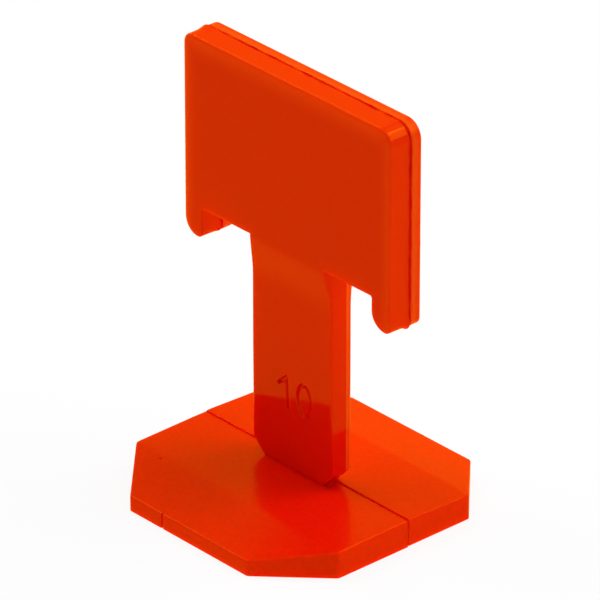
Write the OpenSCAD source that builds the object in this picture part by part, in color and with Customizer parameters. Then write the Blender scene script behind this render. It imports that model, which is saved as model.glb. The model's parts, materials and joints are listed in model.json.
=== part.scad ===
// Tile levelling clip, moulded in one piece.
// The octagonal base lies under the tiles, the stem stands in the joint between them,
// and the wedge is driven under the hooked head. The stem snaps off at its neck.
// The mould opens from front to back, and its halves meet a little out of line, so a
// step runs round the whole clip at the parting plane.
// Millimetres, +Z up, +X along the head, -Y to the front.
// The origin is the middle of the base's underside.

/* [Base] */
// Width of the base from side to side
base_w = 36; // [30:0.5:46]
// Depth of the base from front to rear
base_d = 36; // [30:0.5:46]
// Length cut off each corner along the front and rear edges
corner_x = 7.6; // [4:0.1:10]
// Length cut off each corner along the sides, where the flanks start to slope
corner_y = 7.6; // [4:0.1:10]
// Thickness of the base under the stem
base_h = 3.6; // [2.8:0.1:5]
// Thickness of the base at its front and rear edges
base_edge_h = 2; // [1:0.1:2.6]
// Fall of the front tile's seat away from the stem, in degrees
front_fall = 0.7; // [0:0.1:1.5]
// Fall of the rear tile's seat away from the stem, in degrees
rear_fall = 2.2; // [0:0.1:2.5]

/* [Stem] */
// Width of the stem
stem_w = 14.2; // [10:0.1:18]
// Thickness of the stem, which sets the joint between the tiles
stem_t = 3; // [2.4:0.1:4]
// Rounding of the stem's long edges
stem_round = 0.2; // [0.1:0.05:0.6]
// Height over which the stem thickens into the head
flare_h = 4.8; // [2:0.1:8]

/* [Neck] */
// Width lost at each side of the stem, down to the neck
neck_cut = 1.75; // [0.5:0.05:3]
// Thickness of the neck at the snap line
neck_t = 1.9; // [1:0.1:2]
// Height of the neck's straight part above the base
neck_h = 0.35; // [0.1:0.05:1]

/* [Head] */
// Distance that the head stands out past the base at each side
head_over = 0.1; // [-3:0.1:4]
// Thickness of the head
head_t = 4.8; // [4.2:0.1:6]
// Height of the head's underside above the bottom of the base
head_under = 33.2; // [24:0.1:45]
// Height of the head above its underside
head_h = 22.4; // [14:0.1:30]
// Radius of the head's top corners
head_corner = 2; // [1:0.1:5]
// Rounding of the edges of the head's faces
head_round = 0.5; // [0.2:0.05:1]

/* [Hooks] */
// Width of each hook
hook_w = 3.3; // [2.4:0.1:5]
// Drop of each hook below the head's underside
hook_drop = 4.3; // [2.5:0.1:6]

/* [Mould] */
// Distance of the parting plane behind the middle of the clip
parting_y = 0.7; // [0:0.1:1]
// Draft of the head's and the stem's sides, in degrees
draft = 1; // [0:0.1:2]
// Shift of the rear half to the right
shift_x = 0.2; // [0:0.05:0.4]
// Shift of the rear half upwards
shift_z = 0.2; // [0:0.05:0.4]

/* [Hidden] */

head_w = base_w + 2 * head_over;
head_top = head_under + head_h;
hook_foot = head_under - hook_drop;
hook_inner_x = head_w / 2 - hook_w;
neck_z = base_h + neck_h;
// Depth of each tile's seat, from the stem's face to the flank
seat_d = base_d / 2 - corner_y - stem_t / 2;
// Heights of the base's top where the flanks start
front_crease_h = base_h - seat_d * tan(front_fall);
rear_crease_h = base_h - seat_d * tan(rear_fall);
// Length that reaches past the clip on every side
reach = 2 * max(base_w, base_d, head_w, head_top);
// Steps in a rounded edge, and in the discs at the head's corners
round_steps = 6;
corner_fn = 64;

// Points on an arc about c, from angle a to angle b
function arc(c, r, a, b, steps = round_steps) =
    [for (i = [0:steps]) c + r * [cos(a + (b - a) * i / steps), sin(a + (b - a) * i / steps)]];

// Distance that a drafted side runs in, over a depth away from the parting plane
function run_in(depth) = depth * tan(draft);

// Section of a drafted edge: from the middle of the front face, round the front edge,
// past the parting plane at half width w, and round the rear edge. Points are [width, y].
function edge_section(w, t, r) =
    let (front_w = w - run_in(t / 2 - r + parting_y) - r, rear_w = w - run_in(t / 2 - r - parting_y) - r)
    concat(
        [[0, -t / 2]],
        arc([front_w, r - t / 2], r, -90, 0),
        [[w, parting_y]],
        arc([rear_w, t / 2 - r], r, 0, 90),
        [[0, t / 2]]
    );

function mirrored(points) = [for (p = points) [-p.x, p.y]];
function reversed(points) = [for (i = [len(points) - 1:-1:0]) points[i]];

// A drawing in X and Z, carried along Y
module along_y(length = reach) {
    rotate([90, 0, 0])
        linear_extrude(height = length, center = true)
            children();
}

// A drawing in Y and Z, carried along X
module along_x(length = reach) {
    rotate([90, 0, 90])
        linear_extrude(height = length, center = true)
            children();
}

// Octagonal base: level under the stem, then the nearly level seats of the two tiles,
// which start at the stem's faces, then the sloping front and rear flanks.
// It reaches below the floor, so that the raised rear half still meets it.
module base() {
    x = base_w / 2;
    y = base_d / 2;
    octagon = [
        [x - corner_x, -y], [x, corner_y - y], [x, y - corner_y], [x - corner_x, y],
        [corner_x - x, y], [-x, y - corner_y], [-x, corner_y - y], [corner_x - x, -y]
    ];
    side_view = [
        [-y, -base_h], [y, -base_h], [y, base_edge_h], [y - corner_y, rear_crease_h],
        [stem_t / 2, base_h], [-stem_t / 2, base_h],
        [corner_y - y, front_crease_h], [-y, base_edge_h]
    ];
    intersection() {
        translate([0, 0, -base_h])
            linear_extrude(height = 3 * base_h)
                polygon(octagon);
        along_x()
            polygon(side_view);
    }
}

// Straight stem with rounded long edges, cut in from all sides to the neck
module shaft() {
    half = edge_section(stem_w / 2, stem_t, stem_round);
    thinning = (stem_t - neck_t) / 2;
    front_view = [
        [stem_w / 2 - neck_cut, 0], [stem_w / 2 - neck_cut, neck_z],
        [stem_w / 2, neck_z + neck_cut], [stem_w / 2, head_top]
    ];
    side_view = [
        [neck_t / 2, 0], [neck_t / 2, neck_z],
        [stem_t / 2, neck_z + thinning], [stem_t / 2, head_top]
    ];
    intersection() {
        linear_extrude(height = head_under + head_corner)
            polygon(concat(half, reversed(mirrored(half))));
        along_y()
            polygon(concat(front_view, reversed(mirrored(front_view))));
        along_x()
            polygon(concat(side_view, reversed(mirrored(side_view))));
    }
}

// Top of the stem, which thickens in a straight slope to the faces of the head
module flare() {
    side_view = [
        [stem_t / 2, head_under - flare_h], [head_t / 2, head_under],
        [head_t / 2, head_under + head_round]
    ];
    width = stem_w - 2 * run_in(head_t / 2 + parting_y);
    along_x(width)
        polygon(concat(side_view, reversed(mirrored(side_view))));
}

// Disc with rounded and drafted edges, lying in the head
module corner_disc(r) {
    rotate([-90, 0, 0])
        rotate_extrude($fn = corner_fn)
            polygon(edge_section(r, head_t, head_round));
}

// Head plate with rounded corners, reaching down to the ends of the hooks
module plate() {
    hook_r = hook_w / 2;
    hull() {
        for (side = [-1, 1]) {
            translate([side * (head_w / 2 - head_corner), 0, head_top - head_corner])
                corner_disc(head_corner);
            translate([side * (head_w / 2 - hook_r), 0, hook_foot + hook_r])
                corner_disc(hook_r);
        }
    }
}

// Space between the hooks, which also rounds their inner ends
module hook_gap() {
    hook_r = hook_w / 2;
    side = concat(
        [[hook_inner_x, head_under]],
        arc([hook_inner_x + hook_r, hook_foot + hook_r], hook_r, 180, 270),
        [[hook_inner_x + hook_r, hook_foot - hook_r]]
    );
    along_y()
        polygon(concat(side, reversed(mirrored(side))));
}

module head() {
    difference() {
        plate();
        hook_gap();
    }
}

// The clip as drawn, with both halves in line
module drawn_clip() {
    base();
    shaft();
    flare();
    head();
}

// All space on one side of the parting plane: -1 is the front, 1 the rear
module half_space(side) {
    translate([-reach / 2, parting_y + (side - 1) * reach / 2, -reach / 2])
        cube([reach, reach, 2 * reach]);
}

module levelling_clip() {
    color("orangered")
        difference() {
            union() {
                intersection() {
                    drawn_clip();
                    half_space(-1);
                }
                translate([shift_x, 0, shift_z])
                    intersection() {
                        drawn_clip();
                        half_space(1);
                    }
            }
            translate([-reach, -reach, -reach])
                cube([2 * reach, 2 * reach, reach]);
        }
}

levelling_clip();
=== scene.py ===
"""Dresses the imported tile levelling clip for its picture.

The clip is one orange moulding: an octagonal base, a flat stem with a snap-off neck, and a wide head with a
hook at each end. Its mould opens from front to back. Each half of each piece is worked out by itself as a
numpy surface, the rear halves are set over by the mismatch of the mould, and all of them are welded into one
closed skin, which is then engraved and marked. Lengths in the classes are millimetres in the frame of the
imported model: +Z up, +X along the head, -Y to the front. The finished mesh is in metres.
"""

import json
import logging
import math
from dataclasses import dataclass
from enum import Enum

import bpy
import numpy as np
from mathutils import Matrix, Vector


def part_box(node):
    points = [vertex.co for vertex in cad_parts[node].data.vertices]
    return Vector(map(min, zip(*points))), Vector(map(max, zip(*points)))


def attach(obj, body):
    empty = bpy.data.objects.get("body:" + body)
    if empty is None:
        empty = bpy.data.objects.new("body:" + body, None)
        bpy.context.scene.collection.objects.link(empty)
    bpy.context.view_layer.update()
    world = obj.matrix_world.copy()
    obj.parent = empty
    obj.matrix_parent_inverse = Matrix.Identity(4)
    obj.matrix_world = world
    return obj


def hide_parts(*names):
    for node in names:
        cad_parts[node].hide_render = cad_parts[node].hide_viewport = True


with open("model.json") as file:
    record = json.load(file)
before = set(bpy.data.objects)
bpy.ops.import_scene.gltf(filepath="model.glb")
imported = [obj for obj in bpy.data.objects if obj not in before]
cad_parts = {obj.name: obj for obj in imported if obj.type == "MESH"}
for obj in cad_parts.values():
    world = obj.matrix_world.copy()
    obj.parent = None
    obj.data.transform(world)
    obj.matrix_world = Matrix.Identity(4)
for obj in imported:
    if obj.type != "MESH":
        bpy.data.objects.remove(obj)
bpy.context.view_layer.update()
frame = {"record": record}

NODE = "levelling_clip"
BODY = "root"
SLOT = "orange_plastic"
IMAGE_SIDE_PX = 600
MM = 0.001
# Heights, in tops of the base, at which the base's finish has faded out and at which only stem and head are left
BASE_FADED = 1.1
CLEAR_OF_BASE = 1.5

Socket = bpy.types.NodeSocket
log = logging.getLogger(NODE)


class MouldHalf(Enum):
    """A half of the mould, by the way that it lies from the parting plane along Y."""

    FRONT = -1
    REAR = 1


class Weld(Enum):
    """What is done with a tool solid: it is joined to the body or cut out of it."""

    JOIN = "UNION"
    CUT = "DIFFERENCE"


def mount_place(name: str) -> np.ndarray:
    """Place of one of the record's mounts, in millimetres."""
    found = next(mount for mount in frame["record"]["mounts"] if mount["name"] == name)
    return np.array(found["pos_m"]) / MM


def node_box() -> tuple[np.ndarray, np.ndarray]:
    """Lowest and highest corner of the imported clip, in millimetres."""
    low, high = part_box(NODE)
    return np.array(low) / MM, np.array(high) / MM


def eased_ramp(x: np.ndarray, ease: float) -> np.ndarray:
    """The ramp max(x, 0) with its corner eased by a hyperbola.

    It is half the sum of x and the root of x squared plus ease squared.

    Args:
        x: distance past the corner.
        ease: how far the hyperbola stands off the corner, doubled.
    Returns:
        The ramp's height at each x.
    """
    return (x + np.sqrt(x * x + ease * ease)) / 2


def ripple(s: np.ndarray, waves: tuple[int, int], seed: int) -> np.ndarray:
    """A wavering line: a sum of sines with whole numbers of waves in s from 0 to 1 and seeded phases.

    Args:
        s: place along the line, from 0 to 1.
        waves: lowest and highest number of waves.
        seed: seed of the phases and heights.
    Returns:
        Heights with a spread of about one.
    """
    random = np.random.default_rng(seed)
    count = np.arange(waves[0], waves[1] + 1)
    phase = random.uniform(0, 2 * np.pi, count.size)
    height = random.normal(0, 1, count.size) / np.sqrt(count.size)
    return np.sin(2 * np.pi * s[:, None] * count + phase) @ height


def solid_object(name: str, points: np.ndarray, faces: list[list[int]]) -> bpy.types.Object:
    """Makes a closed mesh object and turns its faces outwards if its signed volume is negative.

    Args:
        name: name of the object and its mesh.
        points: points of shape (n, 3).
        faces: point numbers of each face.
    Returns:
        The object, linked to the scene at the origin.
    """
    mesh = bpy.data.meshes.new(name)
    mesh.from_pydata(points.tolist(), [], faces)
    mesh.calc_loop_triangles()
    corners = np.zeros(len(mesh.loop_triangles) * 3, np.int32)
    mesh.loop_triangles.foreach_get("vertices", corners)
    a, b, c = points[corners.reshape(-1, 3)].swapaxes(0, 1)
    if np.einsum("ij,ij->", a, np.cross(b, c)) < 0:
        mesh.flip_normals()
    mesh.update()
    made = bpy.data.objects.new(name, mesh)
    bpy.context.scene.collection.objects.link(made)
    return made


def loft(name: str, rings: np.ndarray, closed: bool = False) -> bpy.types.Object:
    """Skins closed rings into a solid: quads from each ring to the next, and a flat face over each end.

    Args:
        name: name of the object.
        rings: points of shape (rings, points, 3); each ring closes on itself.
        closed: the last ring is joined to the first instead of covering the ends.
    Returns:
        The solid as an object.
    """
    count, size, _ = rings.shape
    ring = np.arange(count if closed else count - 1)[:, None]
    point = np.arange(size)[None, :]
    here, there = ring * size, (ring + 1) % count * size
    after = (point + 1) % size
    quads = np.stack([here + point, here + after, there + after, there + point], axis=-1)
    faces = quads.reshape(-1, 4).tolist()
    if not closed:
        faces += [list(range(size))[::-1], list(range((count - 1) * size, count * size))]
    return solid_object(name, rings.reshape(-1, 3), faces)


def weld(body: bpy.types.Object, tool: bpy.types.Object, action: Weld) -> None:
    """Joins a tool solid to a body, or cuts it out, and takes the tool away.

    Args:
        body: the object whose mesh is replaced by the result.
        tool: the other solid.
        action: join or cut.
    """
    modifier = body.modifiers.new(action.name, "BOOLEAN")
    modifier.operation = action.value
    modifier.solver = "EXACT"
    modifier.object = tool
    bpy.context.view_layer.update()
    welded = bpy.data.meshes.new_from_object(body.evaluated_get(bpy.context.evaluated_depsgraph_get()))
    body.modifiers.clear()
    spent = body.data, tool.data
    body.data = welded
    bpy.data.objects.remove(tool)
    for mesh in spent:
        bpy.data.meshes.remove(mesh)


@dataclass(frozen=True)
class Mould:
    """The two-part mould: where it parts, its draft, and how far out of line its halves meet."""

    parting_y: float = 0.7
    draft_deg: float = 1.0
    mismatch_x: float = 0.2
    mismatch_z: float = 0.2
    overlap: float = 0.02
    lip: float = 0.13

    def run_in(self, depth: np.ndarray | float) -> np.ndarray | float:
        """Distance that a drafted side runs in, over a depth from the parting plane."""
        return depth * math.tan(math.radians(self.draft_deg))

    def start(self, half: MouldHalf, stagger: float) -> float:
        """Depth at which a half starts: the rear reaches into the front, and no two caps share a plane."""
        return -stagger - (self.overlap if half is MouldHalf.REAR else 0.0)

    def place_y(self, half: MouldHalf, depth: np.ndarray) -> np.ndarray:
        """Y at a depth from the parting plane into a half."""
        return self.parting_y + half.value * depth

    def shift(self, half: MouldHalf) -> np.ndarray:
        """Displacement of a half: none for the front, the mismatch for the rear."""
        moved = np.array([self.mismatch_x, 0.0, self.mismatch_z])
        return moved if half is MouldHalf.REAR else np.zeros(3)


@dataclass
class Base:
    """Octagonal plate under the tiles, level under the stem and sloping to its front and rear edges."""

    mould: Mould
    depth: float
    width: float = 36.0
    height: float = 3.6
    corner_x: float = 7.6
    corner_y: float = 7.6
    edge_height: float = 2.0
    rear_edge_rise: float = -0.04
    rear_skew: float = -0.03
    widen: float = 0.08
    front_shift: float = -0.03
    rear_shift: float = 0.1
    joint: float = 3.0
    front_fall_deg: float = 0.7
    rear_fall_deg: float = 2.2
    edge_round: float = 0.22
    corner_ease: float = 0.12
    crease_ease: float = 0.3
    corner_span: float = 1.2
    hold: float = 0.12
    stagger: float = 0.0
    round_steps: int = 5
    corner_steps: int = 13

    def half_width(self, y: np.ndarray) -> np.ndarray:
        """Half of the octagon's width at y: full up to the corners, then in along the cut corners."""
        past = np.abs(y) - (self.depth / 2 - self.corner_y)
        return self.width / 2 - self.corner_x / self.corner_y * eased_ramp(past, self.corner_ease)

    def top(self, y: np.ndarray) -> np.ndarray:
        """Height of the top: level under the stem, falling over the seat, then steeper down the flank.

        Args:
            y: places along the depth.
        Returns:
            The height at each place.
        """
        fall = np.where(y < 0, self.front_fall_deg, self.rear_fall_deg)
        slope = np.tan(np.radians(fall))
        seat = self.depth / 2 - self.corner_y - self.joint / 2
        edge = self.edge_height + np.where(y < 0, 0.0, self.rear_edge_rise)
        flank = (self.height - seat * slope - edge) / self.corner_y
        past_joint = np.maximum(np.abs(y) - self.joint / 2, 0)
        past_seat = eased_ramp(np.abs(y) - self.joint / 2 - seat, self.crease_ease)
        return self.height - slope * past_joint - (flank - slope) * past_seat

    def depths(self, half: MouldHalf) -> tuple[np.ndarray, np.ndarray]:
        """Stations along the depth of one half, and how far each ring is set in there to round its ends.

        Args:
            half: half of the mould.
        Returns:
            Depths from the parting plane, and the set-in at each.
        """
        start = self.mould.start(half, self.stagger)
        end = self.depth / 2 - half.value * self.mould.parting_y
        turn = np.radians(np.linspace(0, 90, self.round_steps))
        lip = self.mould.lip / 2
        corner = end - self.corner_y
        joint = self.joint / 2 - half.value * self.mould.parting_y
        bend = corner + self.corner_span * np.linspace(-1, 1, self.corner_steps)
        middle = np.concatenate([[joint], bend, [end - 2 * self.edge_round]])
        depth = np.concatenate([
            [start], start + lip * (1 - np.cos(turn)), middle, end - self.edge_round * (1 - np.sin(turn)), [end]
        ])
        set_in = np.concatenate([
            [lip + self.hold], lip * (1 - np.sin(turn)), np.zeros(middle.size),
            self.edge_round * (1 - np.cos(turn)), [self.edge_round + self.hold]
        ])
        return depth, set_in

    def build(self, half: MouldHalf) -> bpy.types.Object:
        """Carries a rectangle with rounded upper corners along Y, as wide and high as the plate is there.

        Args:
            half: half of the mould.
        Returns:
            That half of the base.
        """
        depth, set_in = self.depths(half)
        y = self.mould.place_y(half, depth)
        lift = self.mould.shift(half)[2]
        past_corner = np.maximum(np.abs(y) - self.depth / 2 + self.corner_y, 0)[:, None]
        aside = self.front_shift if half is MouldHalf.FRONT else self.rear_shift + self.rear_skew * past_corner
        x = (self.half_width(y) + self.widen - set_in)[:, None]
        z = (self.top(y) - set_in)[:, None] + lift
        turn = np.radians(np.linspace(0, 90, self.round_steps))
        r = self.edge_round
        side_x = np.concatenate([np.zeros(1), r * (np.cos(turn) - 1), [-r - self.hold]])
        side_z = np.concatenate([np.zeros(1), r * (np.sin(turn) - 1), [0.0]])
        right_x = x + side_x
        right_z = z + side_z
        right_z[:, 0] = lift
        right_z[[0, -1], 0] += self.hold
        ring_x = np.hstack([right_x, -right_x[:, ::-1]]) + aside
        ring_z = np.hstack([right_z, right_z[:, ::-1]])
        ring_y = np.broadcast_to(y[:, None], ring_x.shape)
        return loft(f"base_{half.name.lower()}", np.stack([ring_x, ring_y, ring_z], axis=-1))


@dataclass
class Stem:
    """Flat stem that spaces the joint, cut in to a neck at its foot and thickening into the head."""

    mould: Mould
    thickness: float
    base_height: float
    head_under: float
    head_thickness: float
    width: float = 14.2
    edge_inward: float = 0.4
    edge_deep: float = 0.13
    edge_share: float = 0.8
    lean_deg: float = 0.35
    flare_height: float = 6.0
    flare_foot_ease: float = 2.0
    flare_head_ease: float = 0.6
    flare_taper: float = 0.55
    neck_cut: float = 1.75
    neck_thickness: float = 2.75
    neck_height: float = 0.25
    foot: float = 1.0
    into_head: float = 0.4
    crown: float = 2.0
    sunk_below: float = 0.008
    sunk_above: float = 0.4
    lip: float = 0.004
    hold: float = 0.1
    hold_share: float = 0.25
    stagger: float = 0.004
    round_steps: int = 7
    flare_steps: int = 24

    def levels(self) -> np.ndarray:
        """Heights of the stem's rings: at its neck, along its flare, and inside the base and head.

        Returns:
            The heights, from the lowest up.
        """
        neck = self.base_height + self.neck_height
        thinning = (self.thickness - self.neck_thickness) / 2
        middle = (self.base_height + self.head_under) / 2
        plain = [self.foot, neck, neck + thinning, neck + self.neck_cut, neck + 2 * self.neck_cut, middle]
        flare = np.linspace(self.head_under - self.flare_height, self.head_under, self.flare_steps)
        covered = self.head_under + self.into_head
        return np.concatenate([plain, flare, [covered, covered + self.hold, covered + self.crown]])

    def half_width(self, z: np.ndarray) -> np.ndarray:
        """Half width at the parting plane: the neck's, then out at 45 degrees to the stem's."""
        rise = np.clip(z - self.base_height - self.neck_height, 0, self.neck_cut)
        return self.width / 2 - self.neck_cut + rise

    def half_thickness(self, z: np.ndarray) -> np.ndarray:
        """Distance of the face from the middle: neck, 45 degree rise, stem, then a slope eased into the head.

        The lower half of the stem leans in a little towards its foot.

        Args:
            z: heights.
        Returns:
            Half of the thickness at each height; inside the head it steps back under the head's faces.
        """
        thinning = (self.thickness - self.neck_thickness) / 2
        rise = np.clip(z - self.base_height - self.neck_height, 0, thinning)
        gain = (self.head_thickness - self.thickness) / 2
        foot, crown = self.flare_foot_ease, self.flare_head_ease
        slope = gain / (self.flare_height - (foot + crown) / 2)
        up = np.clip(z - self.head_under + self.flare_height, 0, self.flare_height)
        starting = np.minimum(up, foot)
        ending = np.maximum(up - self.flare_height + crown, 0)
        flare = slope * (up - starting + starting ** 2 / (2 * foot) - ending ** 2 / (2 * crown))
        covered = self.head_under + self.into_head + self.hold / 2
        sunk = np.where(z > covered, self.sunk_above, self.sunk_below)
        middle = (self.base_height + self.head_under) / 2
        lean = math.tan(math.radians(self.lean_deg)) * np.minimum(z - middle, 0)
        return self.neck_thickness / 2 + rise + lean + flare - np.where(z >= self.head_under, sunk, 0)

    def build(self, half: MouldHalf) -> bpy.types.Object:
        """Carries half of a rounded rectangle up the stem, as wide and thick as it is at each level.

        The long edges are quarters of an ellipse, wide on the face. The flare's sides run in towards its face.
        The halves meet in line at the sides.

        Args:
            half: half of the mould.
        Returns:
            That half of the stem.
        """
        z = self.levels()
        start = self.mould.start(half, self.stagger)
        lift = self.mould.shift(half)[2]
        depth = (self.half_thickness(z) - half.value * self.mould.parting_y)[:, None]
        width = self.half_width(z)[:, None]
        a = self.edge_inward
        r = np.minimum(self.edge_deep, self.edge_share * depth)
        lip = np.full_like(depth, self.lip)
        turn = np.radians(np.linspace(0, 90, self.round_steps))
        plain = np.minimum(depth, self.thickness / 2 - half.value * self.mould.parting_y)
        side = width - self.mould.run_in(depth - r)
        edge = side - self.flare_taper * (depth - plain)
        right_x = np.hstack([
            width - lip, width, side, edge - a + a * np.cos(turn), edge - a - self.hold
        ])
        right_depth = np.hstack([
            np.full_like(depth, start), lip, plain - r - self.hold * plain * self.hold_share,
            depth - r + r * np.sin(turn), depth
        ])
        ring_x = np.hstack([right_x, -right_x[:, ::-1]])
        ring_y = self.mould.place_y(half, np.hstack([right_depth, right_depth[:, ::-1]]))
        ring_z = np.broadcast_to(z[:, None] + lift, ring_x.shape)
        return loft(f"stem_{half.name.lower()}", np.stack([ring_x, ring_y, ring_z], axis=-1))


@dataclass(frozen=True)
class Outline:
    """A closed line in X and Z: its points, outward normals, and how soft the edge is along it, from 0 to 1."""

    points: np.ndarray
    normals: np.ndarray
    softness: np.ndarray

    @staticmethod
    def straight(start: tuple[float, float], end: tuple[float, float], soft: float, step: float) -> "Outline":
        """A straight stretch without its end point; its outward side is on the right of its way.

        Args:
            start: first point.
            end: last point.
            soft: softness of its edge.
            step: about how far apart its points are.
        Returns:
            The stretch.
        """
        a, b = np.array(start), np.array(end)
        length = np.hypot(*(b - a))
        count = max(2, round(length / step))
        share = np.arange(count)[:, None] / count
        normal = np.array([b[1] - a[1], a[0] - b[0]]) / length
        return Outline(a + (b - a) * share, np.tile(normal, (count, 1)), np.full(count, soft))

    @staticmethod
    def bend(
        centre: tuple[float, float], radius: float, turn_deg: tuple[float, float], soft: tuple[float, float],
        count: int
    ) -> "Outline":
        """A stretch of a circle without its end point; turned clockwise, it is a hollow corner.

        Args:
            centre: middle of the circle.
            radius: its radius.
            turn_deg: first and last angle.
            soft: softness of its edge at the first and the last angle.
            count: number of points.
        Returns:
            The stretch.
        """
        share = np.arange(count) / count
        angle = np.radians(turn_deg[0] + (turn_deg[1] - turn_deg[0]) * share)
        ray = np.stack([np.cos(angle), np.sin(angle)], axis=-1)
        eased = share * share * (3 - 2 * share)
        outward = ray if turn_deg[1] > turn_deg[0] else -ray
        return Outline(np.array(centre) + radius * ray, outward, soft[0] + (soft[1] - soft[0]) * eased)

    @staticmethod
    def joined(stretches: list["Outline"]) -> "Outline":
        """The stretches one after another, as one closed line."""
        return Outline(*(np.concatenate([getattr(s, field) for s in stretches])
                         for field in ("points", "normals", "softness")))

    def share(self) -> np.ndarray:
        """Place of each point along the line, from 0 to 1."""
        step = np.linalg.norm(np.roll(self.points, -1, axis=0) - self.points, axis=1)
        return (np.cumsum(step) - step) / step.sum()


@dataclass(frozen=True)
class Flash:
    """A spot on an outline where plastic crept into the parting and stands out in a rounded ridge."""

    place: tuple[float, float]
    height: float
    spread: float
    depth: float

    def rise(self, points: np.ndarray, depth: np.ndarray) -> np.ndarray:
        """Bell-shaped rise round the spot, which also fades away from the parting plane.

        Args:
            points: outline of shape (n, 2).
            depth: depths from the parting plane, of shape (n, stations).
        Returns:
            Rise of shape (n, stations).
        """
        away = np.linalg.norm(points - np.array(self.place), axis=1)[:, None]
        return self.height * np.exp(-(away / self.spread) ** 2 - (depth / self.depth) ** 2)


@dataclass
class Head:
    """Wide plate that the wedge pulls on, with a hook at each end of its underside."""

    mould: Mould
    half_width: float
    under: float
    top: float
    thickness: float = 4.8
    front_corners: tuple[float, float] = (1.5, 2.2)
    rear_corners: tuple[float, float] = (1.3, 2.4)
    top_tilt: float = 0.1
    front_shift: float = -0.15
    hook_width: float = 3.3
    hook_drop: float = 4.05
    hook_left_round: float = 2.3
    inner_corner: float = 0.25
    front_round: tuple[float, float] = (0.7, 0.32)
    rear_round: tuple[float, float] = (0.75, 0.65)
    crisp_round: tuple[float, float] = (0.3, 0.12)
    flash: tuple[Flash, ...] = (
        Flash((-17.6, 55.3), height=0.22, spread=1.6, depth=0.8),
        Flash((17.6, 29.2), height=0.32, spread=1.4, depth=0.4),
        Flash((-15.6, 29.2), height=0.14, spread=1.2, depth=0.35),
    )
    nib: Flash = Flash((18.1, 39.8), height=0.1, spread=0.35, depth=1.5)
    lip_waver: float = 0.6
    lip_limits: tuple[float, float] = (0.15, 2.2)
    waver_waves: tuple[int, int] = (8, 60)
    waver_seed: int = 11
    hold: float = 0.12
    stagger: float = 0.002
    step: float = 0.5
    round_steps: int = 13
    lip_steps: int = 4
    side_steps: int = 6
    hook_steps: int = 16
    tip_steps: int = 12
    corner_steps: int = 18
    inner_steps: int = 6

    def outline(self, half: MouldHalf) -> Outline:
        """The head seen from the front, taken round anticlockwise from the right hook's inner side.

        Args:
            half: half of the mould; the corners differ a little between them.
        Returns:
            The outline; its outer edges are soft, and those of the gap between the hooks are crisp.
        """
        w, a, i = self.half_width, self.hook_left_round, self.inner_corner
        b = self.hook_width - a
        foot = self.under - self.hook_drop
        inner = w - self.hook_width
        left, right = self.front_corners if half is MouldHalf.FRONT else self.rear_corners
        high, low = self.top + self.top_tilt, self.top - self.top_tilt
        return Outline.joined([
            Outline.bend((w - b, foot + a), a, (180, 270), (0, 0.5), self.hook_steps),
            Outline.bend((w - b, foot + b), b, (270, 360), (0.5, 1), self.tip_steps),
            Outline.straight((w, foot + b), (w, low - right), 1, self.step),
            Outline.bend((w - right, low - right), right, (0, 90), (1, 1), self.corner_steps),
            Outline.straight((w - right, low), (left - w, high), 1, self.step),
            Outline.bend((left - w, high - left), left, (90, 180), (1, 1), self.corner_steps),
            Outline.straight((-w, high - left), (-w, foot + a), 1, self.step),
            Outline.bend((a - w, foot + a), a, (180, 270), (1, 0.5), self.hook_steps),
            Outline.bend((a - w, foot + b), b, (270, 360), (0.5, 0), self.tip_steps),
            Outline.straight((-inner, foot + b), (-inner, self.under - i), 0, self.step),
            Outline.bend((i - inner, self.under - i), i, (180, 90), (0, 0), self.inner_steps),
            Outline.straight((i - inner, self.under), (inner - i, self.under), 0, self.step),
            Outline.bend((inner - i, self.under - i), i, (90, 0), (0, 0), self.inner_steps),
            Outline.straight((inner, self.under - i), (inner, foot + a), 0, self.step),
        ])

    def build(self, half: MouldHalf) -> bpy.types.Object:
        """Carries the edge's profile round the outline: lip at the parting plane, drafted side, rounding, face.

        The rounding is a quarter of an ellipse, which reaches further along the face than into the depth. The
        lip wavers along the outline, the front half has ridges of flash, and the rear half has a small nib on
        its right side.

        Args:
            half: half of the mould.
        Returns:
            That half of the head.
        """
        line = self.outline(half)
        is_front = half is MouldHalf.FRONT
        shift = self.mould.shift(half) + (np.array([self.front_shift, 0, 0]) if is_front else 0)
        full = self.thickness / 2 - half.value * self.mould.parting_y
        waver = ripple(line.share(), self.waver_waves, self.waver_seed + half.value)
        lip = self.mould.lip * np.clip(1 + self.lip_waver * waver, *self.lip_limits)[:, None]
        soft = np.array(self.front_round if is_front else self.rear_round)
        crisp = np.array(self.crisp_round)
        inward, deep = (crisp + (soft - crisp) * line.softness[:, None])[:, :, None].swapaxes(0, 1)
        side = full - deep
        roll = np.radians(np.linspace(90, 0, self.lip_steps))
        turn = np.radians(np.linspace(0, 90, self.round_steps))
        plain = lip + self.hold + (side - lip - 2 * self.hold) * np.linspace(0, 1, self.side_steps)
        depth = np.hstack([
            np.full_like(lip, self.mould.start(half, self.stagger)), lip * (1 - np.sin(roll)), plain,
            side + deep * np.sin(turn), side + deep
        ])
        set_in = np.hstack([
            lip, lip * (1 - np.cos(roll)), self.mould.run_in(plain),
            self.mould.run_in(side) + inward * (1 - np.cos(turn)), self.mould.run_in(side) + inward + self.hold
        ])
        rise = sum(spot.rise(line.points, depth) for spot in (self.flash if is_front else (self.nib,)))
        xz = line.points[:, None, :] + (rise - set_in)[:, :, None] * line.normals[:, None, :]
        y = self.mould.place_y(half, depth)
        rings = np.stack([xz[..., 0] + shift[0], y, xz[..., 1] + shift[2]], axis=-1)
        return loft(f"head_{half.name.lower()}", rings.swapaxes(0, 1))


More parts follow.
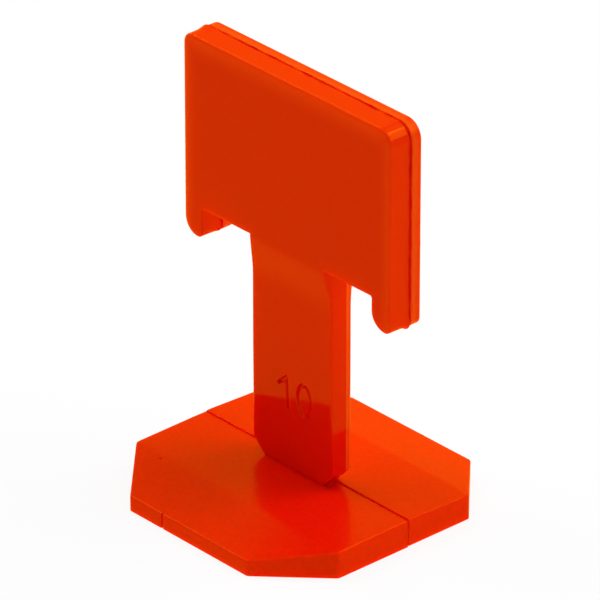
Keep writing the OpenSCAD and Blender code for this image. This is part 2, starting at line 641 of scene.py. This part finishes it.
@dataclass
class Stroke:
    """A groove cutter: a section with sloping walls carried along a line on the stem's or the base's face."""

    name: str
    path: np.ndarray
    into: tuple[float, float, float]
    width: float
    depth: float
    closed: bool = False
    floor_share: float = 0.35
    clear: float = 0.15
    end_deg: float = 8.0
    end_steps: int = 6

    def stations(self) -> tuple[np.ndarray, np.ndarray]:
        """Points along the cutter and the share of its width there: round ends on an open line.

        Returns:
            Points of shape (n, 3), and shares from near 0 to 1.
        """
        if self.closed:
            return self.path, np.ones(len(self.path))
        first, last = self.path[0], self.path[-1]
        way = (last - first) / np.linalg.norm(last - first)
        turn = np.radians(np.linspace(self.end_deg, 90, self.end_steps))
        reach = (self.width / 2 * np.cos(turn))[:, None]
        points = np.vstack([first - way * reach, (last + way * reach)[::-1]])
        return points, np.concatenate([np.sin(turn), np.sin(turn)[::-1]])

    def build(self) -> bpy.types.Object:
        """Carries the groove's section along the line.

        Returns:
            The cutter as a solid that stands a little out of the face.
        """
        points, share = self.stations()
        into = np.array(self.into) / np.linalg.norm(self.into)
        if self.closed:
            way = np.roll(points, -1, axis=0) - np.roll(points, 1, axis=0)
        else:
            way = np.tile(self.path[-1] - self.path[0], (len(points), 1))
        across = np.cross(way / np.linalg.norm(way, axis=1)[:, None], into)
        half = self.width / 2
        slope = half * (1 - self.floor_share) / self.depth
        section = np.array([
            [half + slope * self.clear, -self.clear], [half * self.floor_share, self.depth],
            [-half * self.floor_share, self.depth], [-half - slope * self.clear, -self.clear],
        ])
        offset = section[None, :, 0] * share[:, None]
        rings = points[:, None, :] + offset[..., None] * across[:, None, :] + section[None, :, 1, None] * into
        return loft(self.name, rings, self.closed)


@dataclass
class Marks:
    """The plain number engraved on the stem, and the small marks that moulding and handling left."""

    stem_face_y: float
    base_front_y: float
    base: Base
    one_top: tuple[float, float] = (-1.0, 15.95)
    one_foot: tuple[float, float] = (-0.85, 12.0)
    flag_tip: tuple[float, float] = (-2.35, 14.75)
    nought_middle: tuple[float, float] = (2.06, 13.89)
    nought_half: tuple[float, float] = (1.12, 2.06)
    nought_steps: int = 64
    stroke_width: float = 0.6
    stroke_depth: float = 0.38
    nick_x: float = -4.7
    nick_past: float = 0.5
    nick_width: float = 0.34
    nick_depth: float = 0.3
    scratch_middle: tuple[float, float] = (-0.47, 8.84)
    scratch_half: tuple[float, float] = (0.1, 0.22)
    scratch_width: float = 0.14
    scratch_depth: float = 0.05
    pit_middle: tuple[float, float] = (-13.0, -10.9)
    pit_half: float = 0.08
    pit_width: float = 0.26
    pit_depth: float = 0.16
    keen_floor: float = 0.2
    pit_floor: float = 0.3

    def on_stem(self, points: np.ndarray) -> np.ndarray:
        """Points in X and Z, laid on the stem's front face."""
        return np.insert(np.atleast_2d(points), 1, self.stem_face_y, axis=1)

    def number(self) -> list[Stroke]:
        """The number: a one with its flag, and an oval nought.

        Returns:
            Its strokes.
        """
        turn = np.linspace(0, 2 * np.pi, self.nought_steps, endpoint=False)
        ring = np.stack([np.cos(turn), np.sin(turn)], axis=-1) * self.nought_half + self.nought_middle
        back = (0.0, 1.0, 0.0)
        w, d = self.stroke_width, self.stroke_depth
        return [
            Stroke("one_stem", self.on_stem(np.array([self.one_foot, self.one_top])), back, w, d),
            Stroke("one_flag", self.on_stem(np.array([self.flag_tip, self.one_top])), back, w, d),
            Stroke("nought", self.on_stem(ring), back, w, d, closed=True),
        ]

    def small_marks(self) -> list[Stroke]:
        """A nick across the base's front edge, a short scratch on the stem and a pit in the base's top.

        Returns:
            Their strokes.
        """
        back, down = (0.0, 1.0, 0.0), (0.0, 0.0, -1.0)
        low, high = -self.nick_past, self.base.edge_height + self.nick_past
        nick = np.array([[self.nick_x, self.base_front_y, low], [self.nick_x, self.base_front_y, high]])
        middle, half = np.array(self.scratch_middle), np.array(self.scratch_half)
        scratch = self.on_stem(np.array([middle - half, middle + half]))
        x, y = self.pit_middle
        z = self.base.top(np.array(y)).item()
        pit = np.array([[x - self.pit_half, y, z], [x + self.pit_half, y, z]])
        return [
            Stroke("nick", nick, back, self.nick_width, self.nick_depth, floor_share=self.keen_floor),
            Stroke("scratch", scratch, back, self.scratch_width, self.scratch_depth, floor_share=self.keen_floor),
            Stroke("pit", pit, down, self.pit_width, self.pit_depth, floor_share=self.pit_floor),
        ]


class NodeTree:
    """Short calls for adding nodes to a material or world and joining their sockets."""

    def __init__(self, owner: bpy.types.ID) -> None:
        """Starts an empty tree.

        Args:
            owner: the material or world that it is for.
        """
        owner.use_nodes = True
        self.tree = owner.node_tree
        self.tree.nodes.clear()

    def add(self, kind: str, **settings: object) -> bpy.types.Node:
        """Adds a node; settings name its properties, or its input sockets with _ for each space.

        Args:
            kind: Blender's name of the node type.
            settings: values for properties and inputs.
        Returns:
            The node.
        """
        node = self.tree.nodes.new(kind)
        for key, value in settings.items():
            socket = key.replace("_", " ")
            named = next((s for s in node.inputs if s.name == socket), None)
            if named is not None:
                named.default_value = value
            else:
                setattr(node, key, value)
        return node

    def join(self, start: Socket, end: Socket) -> None:
        """Joins an output socket to an input socket."""
        self.tree.links.new(start, end)

    def math(self, operation: str, first: Socket, second: Socket | float = 0.0) -> Socket:
        """Works out one step with one or two numbers.

        Args:
            operation: Blender's name of the step.
            first: the first number.
            second: the second number, from a socket or fixed.
        Returns:
            The result.
        """
        node = self.add("ShaderNodeMath", operation=operation)
        self.join(first, node.inputs[0])
        if isinstance(second, Socket):
            self.join(second, node.inputs[1])
        else:
            node.inputs[1].default_value = second
        return node.outputs["Value"]

    def ramp(self, value: Socket, start: tuple[float, float], end: tuple[float, float]) -> Socket:
        """A level that follows a number evenly between two places and stays as it is past them.

        Args:
            value: the number.
            start: number and level at which the ramp starts.
            end: number and level at which it ends.
        Returns:
            The level.
        """
        node = self.add("ShaderNodeMapRange", From_Min=start[0], From_Max=end[0], To_Min=start[1], To_Max=end[1])
        self.join(value, node.inputs["Value"])
        return node.outputs["Result"]

    def mix(self, start: Socket, colour: tuple[float, float, float], share: Socket, **settings: object) -> Socket:
        """Mixes a fixed colour into another one.

        Args:
            start: the other colour.
            colour: the fixed colour.
            share: its share.
            settings: properties of the node, such as the way of mixing.
        Returns:
            The mixed colour.
        """
        node = self.add("ShaderNodeMix", data_type="RGBA", **settings)
        node.inputs["B"].default_value = (*colour, 1)
        self.join(share, node.inputs["Factor"])
        self.join(start, node.inputs["A"])
        return node.outputs["Result"]


class ObjectNodes(NodeTree):
    """Nodes of a material whose patterns lie on the object's own coordinates."""

    def __init__(self, owner: bpy.types.Material) -> None:
        """Starts a tree with the place on the object, and its X, Y and Z.

        Args:
            owner: the material.
        """
        super().__init__(owner)
        self.place = self.add("ShaderNodeTexCoord").outputs["Object"]
        axes = self.add("ShaderNodeSeparateXYZ")
        self.join(self.place, axes.inputs["Vector"])
        self.x, self.y, self.z = axes.outputs

    def noise(self, size_m: float, detail: float = 2.0, roughness: float = 0.5) -> Socket:
        """Soft noise.

        Args:
            size_m: about how far apart its spots are.
            detail: how many finer layers it has.
            roughness: how strong they are.
        Returns:
            The noise, about 0.5 on average.
        """
        node = self.add("ShaderNodeTexNoise", Scale=1 / size_m, Detail=detail, Roughness=roughness)
        self.join(self.place, node.inputs["Vector"])
        return node.outputs["Fac"]


@dataclass(frozen=True)
class PaintedRimGlow:
    """The rim of the head's front face, where a paler colour paints the glow of light coming through round the
    edge.
    """

    half_width_m: float
    top_m: float
    low_m: float
    front_m: float
    side_reach_m: float = 0.0022
    top_reach_m: float = 0.0032
    deep_m: float = 0.00045
    round_share: float = 0.22
    falloff: float = 1.8

    def socket(self, nodes: ObjectNodes) -> Socket:
        """Share of the painted glow: 1 at the face's sides and top, 0 inside it, and a little round its edge.

        Args:
            nodes: the material's nodes.
        Returns:
            The share, from 0 to 1.
        """
        aside = nodes.math("ABSOLUTE", nodes.x)
        side = nodes.ramp(aside, (self.half_width_m - self.side_reach_m, 0.0), (self.half_width_m, 1.0))
        top = nodes.ramp(nodes.z, (self.top_m - self.top_reach_m, 0.0), (self.top_m, 1.0))
        rim = nodes.math("POWER", nodes.math("MAXIMUM", side, top), self.falloff)
        front = nodes.ramp(nodes.y, (self.front_m, 1.0), (self.front_m + self.deep_m, self.round_share))
        above = nodes.math("GREATER_THAN", nodes.z, self.low_m)
        return nodes.math("MULTIPLY", nodes.math("MULTIPLY", rim, front), above)


@dataclass(frozen=True)
class MouldedPlastic:
    """Glossy orange plastic: a deep red-orange body that light soaks into, under a clear orange skin.

    The skin shines more at flat angles. The base is duller than the rest. A paler colour paints a highlight on the
    edge that the rear half shows at the parting above the base, and the glow of light that comes through round the
    rim of the head's front face. Each grain is its size, its height above the base and its height on the base.
    """

    parting_m: float
    base_top_m: float
    rim: PaintedRimGlow
    body_colour: tuple[float, float, float] = (0.84, 0.0055, 0.0005)
    # Paler colour that paints a highlight on the edge that the rear half shows at the parting
    painted_highlight_colour: tuple[float, float, float] = (1.0, 0.085, 0.006)
    # Paler colour that paints the glow of light coming through round the head's rim
    painted_glow_colour: tuple[float, float, float] = (1.0, 0.045, 0.002)
    skin_colour: tuple[float, float, float] = (1.0, 0.3, 0.008)
    skin_edge_colour: tuple[float, float, float] = (1.0, 1.0, 0.5)
    skin_refraction: float = 1.55
    body_roughness: float = 0.5
    depth_m: float = 0.002
    depth_by_colour: tuple[float, float, float] = (1.0, 0.35, 0.15)
    cloud: float = 0.04
    cloud_size_m: float = 0.009
    cloud_detail: float = 4.0
    cloud_roughness: float = 0.6
    mottle: float = 0.12
    mottle_size_m: float = 0.0006
    mottle_middle: float = 0.4
    mottle_above: float = 0.2
    painted_highlight_width_m: float = 0.0012
    roughness: float = 0.06
    base_roughness: float = 0.22
    grains: tuple[tuple[float, float, float], ...] = ((0.012, 0.00002, 0.00002), (0.0005, 0.000004, 0.000012))

    def by_height(self, nodes: ObjectNodes, on_base: float, above: float) -> Socket:
        """A number with one value on the base and another above it.

        Args:
            nodes: the material's nodes.
            on_base: value up to the base's top.
            above: value a little further up and on.
        Returns:
            The socket that carries the number.
        """
        return nodes.ramp(nodes.z, (self.base_top_m, on_base), (BASE_FADED * self.base_top_m, above))

    def surface(self, nodes: ObjectNodes) -> Socket:
        """The uneven surface: for each size and height of grain, a bump on top of the one before.

        Args:
            nodes: the material's nodes.
        Returns:
            The normal that the shaders use.
        """
        normal = None
        for size, above, on_base in self.grains:
            bump = nodes.add("ShaderNodeBump", Strength=1.0, Distance=above)
            if on_base != above:
                nodes.join(self.by_height(nodes, on_base, above), bump.inputs["Distance"])
            nodes.join(nodes.noise(size), bump.inputs["Height"])
            if normal is not None:
                nodes.join(normal, bump.inputs["Normal"])
            normal = bump.outputs["Normal"]
        return normal

    def colour(self, nodes: ObjectNodes) -> Socket:
        """The body's colour: faintly cloudy, mottled on the base, with a painted highlight behind the parting and
        a painted glow at the head's rim.

        Args:
            nodes: the material's nodes.
        Returns:
            The colour.
        """
        cloud = nodes.noise(self.cloud_size_m, self.cloud_detail, self.cloud_roughness)
        body = np.array(self.body_colour)
        tint = nodes.add("ShaderNodeMix", data_type="RGBA")
        tint.inputs["A"].default_value = (*(body * (1 - self.cloud)), 1)
        tint.inputs["B"].default_value = (*(body * (1 + self.cloud)), 1)
        nodes.join(cloud, tint.inputs["Factor"])
        speck = nodes.math("SUBTRACT", nodes.noise(self.mottle_size_m), self.mottle_middle)
        speck = nodes.math("MULTIPLY", speck, self.by_height(nodes, 1.0, self.mottle_above))
        darker = (1 - 2 * self.mottle,) * 3
        mottled = nodes.mix(tint.outputs["Result"], darker, speck, blend_type="MULTIPLY", clamp_factor=False)
        # Painted highlight: a paler colour on the edge that the rear half shows at the parting, above the base
        painted_highlight = nodes.ramp(nodes.y, (self.parting_m, 1.0), (self.parting_m + self.painted_highlight_width_m, 0.0))
        for value, limit in ((nodes.y, self.parting_m), (nodes.z, CLEAR_OF_BASE * self.base_top_m)):
            painted_highlight = nodes.math("MULTIPLY", painted_highlight, nodes.math("GREATER_THAN", value, limit))
        paler = nodes.mix(mottled, self.painted_highlight_colour, painted_highlight)
        # Painted glow: a paler colour where light comes through round the head's front face
        return nodes.mix(paler, self.painted_glow_colour, self.rim.socket(nodes))

    def material(self) -> bpy.types.Material:
        """Builds the plastic on the object's own coordinates.

        Returns:
            The material.
        """
        made = bpy.data.materials.new(SLOT)
        nodes = ObjectNodes(made)
        normal = self.surface(nodes)
        body = nodes.add(
            "ShaderNodeBsdfPrincipled", Specular_IOR_Level=0.0, Roughness=self.body_roughness,
            Subsurface_Weight=1.0, Subsurface_Radius=self.depth_by_colour, Subsurface_Scale=self.depth_m
        )
        nodes.join(self.colour(nodes), body.inputs["Base Color"])
        skin = nodes.add(
            "ShaderNodeBsdfPrincipled", Metallic=1.0, Base_Color=(*self.skin_colour, 1),
            Specular_Tint=(*self.skin_edge_colour, 1)
        )
        nodes.join(self.by_height(nodes, self.base_roughness, self.roughness), skin.inputs["Roughness"])
        share = nodes.add("ShaderNodeFresnel", IOR=self.skin_refraction)
        mixed = nodes.add("ShaderNodeMixShader")
        nodes.join(share.outputs["Fac"], mixed.inputs["Fac"])
        for shader, socket in ((body, 1), (skin, 2)):
            nodes.join(normal, shader.inputs["Normal"])
            nodes.join(shader.outputs["BSDF"], mixed.inputs[socket])
        output = nodes.add("ShaderNodeOutputMaterial")
        nodes.join(mixed.outputs["Shader"], output.inputs["Surface"])
        return made


@dataclass
class LevellingClip:
    """The whole clip: base, stem and head in both halves of the mould, welded, engraved and dressed."""

    base: Base
    stem: Stem
    head: Head
    marks: Marks
    finish: MouldedPlastic
    sharp_deg: float = 32.0

    @staticmethod
    def from_frame() -> "LevellingClip":
        """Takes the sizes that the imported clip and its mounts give, and the rest from the classes.

        Returns:
            The clip, ready to be built.
        """
        low, high = node_box()
        mould = Mould()
        thickness = mount_place("joint_face_rear")[1] - mount_place("joint_face_front")[1]
        under = mount_place("wedge_seat_left")[2]
        base = Base(mould, depth=high[1] - low[1], joint=thickness)
        head = Head(mould, half_width=-low[0], under=under, top=high[2] - mould.mismatch_z)
        stem = Stem(mould, thickness, base.height, under, head.thickness)
        marks = Marks(-thickness / 2, low[1], base)
        base_top = (base.height + mould.mismatch_z) * MM
        front = -head.thickness / 2 * MM
        # Where a paler colour paints the glow of light coming through round the head's rim
        rim = PaintedRimGlow(head.half_width * MM, high[2] * MM, CLEAR_OF_BASE * base_top, front)
        finish = MouldedPlastic(mould.parting_y * MM, base_top, rim)
        return LevellingClip(base, stem, head, marks, finish)

    def half(self, half: MouldHalf) -> bpy.types.Object:
        """Welds base, stem and head of one half of the mould together.

        Args:
            half: half of the mould.
        Returns:
            That half of the clip.
        """
        body = self.base.build(half)
        for piece in (self.stem, self.head):
            weld(body, piece.build(half), Weld.JOIN)
        return body

    def build(self) -> bpy.types.Object:
        """Welds the halves, cuts the number and the marks, brings the mesh to metres and shades it.

        Returns:
            The finished clip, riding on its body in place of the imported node.
        """
        body = self.half(MouldHalf.FRONT)
        weld(body, self.half(MouldHalf.REAR), Weld.JOIN)
        for stroke in self.marks.number() + self.marks.small_marks():
            weld(body, stroke.build(), Weld.CUT)
        body.name = "clip_moulding"
        body.data.name = body.name
        body.data.transform(Matrix.Scale(MM, 4))
        body.data.shade_smooth()
        body.data.set_sharp_from_angle(angle=math.radians(self.sharp_deg))
        even = body.modifiers.new("even_normals", "WEIGHTED_NORMAL")
        even.keep_sharp = True
        body.data.materials.clear()
        body.data.materials.append(self.finish.material())
        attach(body, BODY)
        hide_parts(NODE)
        return body


@dataclass(frozen=True)
class Softbox:
    """A square soft lamp that looks at the clip."""

    name: str
    azimuth_deg: float
    elevation_deg: float
    power_w: float
    mirrored: bool = False
    distance_m: float = 0.85
    side_m: float = 0.5

    def build(self, target: Vector) -> bpy.types.Object:
        """Hangs the lamp round the target, turned towards it; azimuth 0 is the front and 90 the right.

        Args:
            target: point that the lamp looks at.
        Returns:
            The lamp's object.
        """
        lamp = bpy.data.lights.new(self.name, "AREA")
        lamp.size = self.side_m
        lamp.energy = self.power_w
        made = bpy.data.objects.new(self.name, lamp)
        made.visible_glossy = self.mirrored
        a, e = math.radians(self.azimuth_deg), math.radians(self.elevation_deg)
        back = Vector((math.sin(a) * math.cos(e), -math.cos(a) * math.cos(e), math.sin(e)))
        made.location = target + back * self.distance_m
        made.rotation_mode = "QUATERNION"
        made.rotation_quaternion = back.to_track_quat("Z", "Y")
        bpy.context.scene.collection.objects.link(made)
        return made


@dataclass(frozen=True)
class PhotoCamera:
    """The camera: where it stands round the clip, and where the clip's origin falls in the picture."""

    azimuth_deg: float = 48.0
    elevation_deg: float = 27.95
    distance_m: float = 0.866
    pixels_per_m: float = 8363.0
    origin_px: tuple[float, float] = (301.5, 493.06)
    sensor_mm: float = 36.0
    clip_m: tuple[float, float] = (0.05, 50.0)

    def build(self) -> bpy.types.Object:
        """Sets the camera back from the clip and slides it so that the origin falls on its pixel.

        Returns:
            The camera's object, made the scene's camera.
        """
        a, e = math.radians(self.azimuth_deg), math.radians(self.elevation_deg)
        right = Vector((math.cos(a), math.sin(a), 0.0))
        back = Vector((math.sin(a) * math.cos(e), -math.cos(a) * math.cos(e), math.sin(e)))
        up = back.cross(right)
        aside = (IMAGE_SIDE_PX / 2 - self.origin_px[0]) / self.pixels_per_m
        above = (self.origin_px[1] - IMAGE_SIDE_PX / 2) / self.pixels_per_m
        data = bpy.data.cameras.new("photo_camera")
        data.sensor_width = self.sensor_mm
        data.lens = self.pixels_per_m * self.distance_m / IMAGE_SIDE_PX * self.sensor_mm
        data.clip_start, data.clip_end = self.clip_m
        made = bpy.data.objects.new("photo_camera", data)
        made.matrix_world = Matrix((right, up, back)).transposed().to_4x4()
        made.location = back * self.distance_m + right * aside + up * above
        bpy.context.scene.collection.objects.link(made)
        bpy.context.scene.camera = made
        return made


@dataclass(frozen=True)
class RayLevel:
    """A number that differs by what a ray is for: the camera, a reflection or view through glass, or light."""

    camera: float
    mirrored: float
    light: float

    def socket(self, nodes: NodeTree) -> Socket:
        """Adds the nodes that choose the number.

        Args:
            nodes: nodes of a material or world.
        Returns:
            The socket that carries the number.
        """
        path = nodes.add("ShaderNodeLightPath")
        mirrored = nodes.math("MAXIMUM", path.outputs["Is Glossy Ray"], path.outputs["Is Transmission Ray"])
        unseen = nodes.ramp(mirrored, (0.0, self.light), (1.0, self.mirrored))
        level = nodes.add("ShaderNodeMapRange", To_Max=self.camera)
        nodes.join(path.outputs["Is Camera Ray"], level.inputs["Value"])
        nodes.join(unseen, level.inputs["To Min"])
        return level.outputs["Result"]


@dataclass
class Studio:
    """White light table and surroundings, soft lamps and the camera."""

    floor_side_m: float = 8.0
    floor_white: RayLevel = RayLevel(camera=0.12, mirrored=0.4, light=0.5)
    floor_glow: RayLevel = RayLevel(camera=0.88, mirrored=0.67, light=0.74)
    sky: RayLevel = RayLevel(camera=1.0, mirrored=1.0, light=0.0)
    target: tuple[float, float, float] = (0.0, 0.0, 0.028)
    lamps: tuple[Softbox, ...] = (
        Softbox("key_rear_right", 135.0, 68.0, 2.35, mirrored=True),
        Softbox("key_rear_low", 140.0, 40.0, 2.1, mirrored=True),
        Softbox("fill_rear", 175.0, 40.0, 0.8, mirrored=True),
        Softbox("fill_top", 0.0, 90.0, 0.55, mirrored=True),
        Softbox("fill_left_high", -90.0, 68.0, 2.2),
        Softbox("fill_left", -70.0, 40.0, 2.1, mirrored=True),
    )

    def floor(self) -> bpy.types.Object:
        """A square floor: matt white, faintly glowing, and mostly plain white to the camera, with a soft shadow.

        Returns:
            The floor.
        """
        half = self.floor_side_m / 2
        side = np.array([-half, half])
        x, y = np.meshgrid(side, side)
        points = np.stack([x.ravel(), y.ravel(), np.zeros(4)], axis=-1)
        mesh = bpy.data.meshes.new("floor")
        mesh.from_pydata(points.tolist(), [], [[0, 1, 3, 2]])
        made = bpy.data.objects.new("floor", mesh)
        bpy.context.scene.collection.objects.link(made)
        white = bpy.data.materials.new("floor_white")
        nodes = NodeTree(white)
        matt = nodes.add("ShaderNodeBsdfDiffuse")
        nodes.join(self.floor_white.socket(nodes), matt.inputs["Color"])
        glow = nodes.add("ShaderNodeEmission")
        nodes.join(self.floor_glow.socket(nodes), glow.inputs["Strength"])
        both = nodes.add("ShaderNodeAddShader")
        nodes.join(matt.outputs["BSDF"], both.inputs[0])
        nodes.join(glow.outputs["Emission"], both.inputs[1])
        output = nodes.add("ShaderNodeOutputMaterial")
        nodes.join(both.outputs["Shader"], output.inputs["Surface"])
        mesh.materials.append(white)
        return made

    def world(self) -> None:
        """Plain white surroundings, which give no light of their own."""
        world = bpy.data.worlds.new("surroundings")
        bpy.context.scene.world = world
        nodes = NodeTree(world)
        light = nodes.add("ShaderNodeBackground", Color=(1, 1, 1, 1))
        nodes.join(self.sky.socket(nodes), light.inputs["Strength"])
        output = nodes.add("ShaderNodeOutputWorld")
        nodes.join(light.outputs["Background"], output.inputs["Surface"])

    def build(self) -> None:
        """Sets up floor, surroundings, lamps and camera, and the plain view transform."""
        self.floor()
        self.world()
        for lamp in self.lamps:
            lamp.build(Vector(self.target))
        PhotoCamera().build()
        bpy.context.scene.view_settings.view_transform = "Standard"


def main() -> None:
    """Builds the clip and the studio in order and reports each piece."""
    logging.basicConfig(level=logging.INFO, format="%(name)s: %(message)s")
    clip = LevellingClip.from_frame().build()
    clip.data.calc_loop_triangles()
    log.info("%s has %d triangles", clip.name, len(clip.data.loop_triangles))
    Studio().build()
    log.info("studio is set up")


if __name__ == "__main__":
    main()
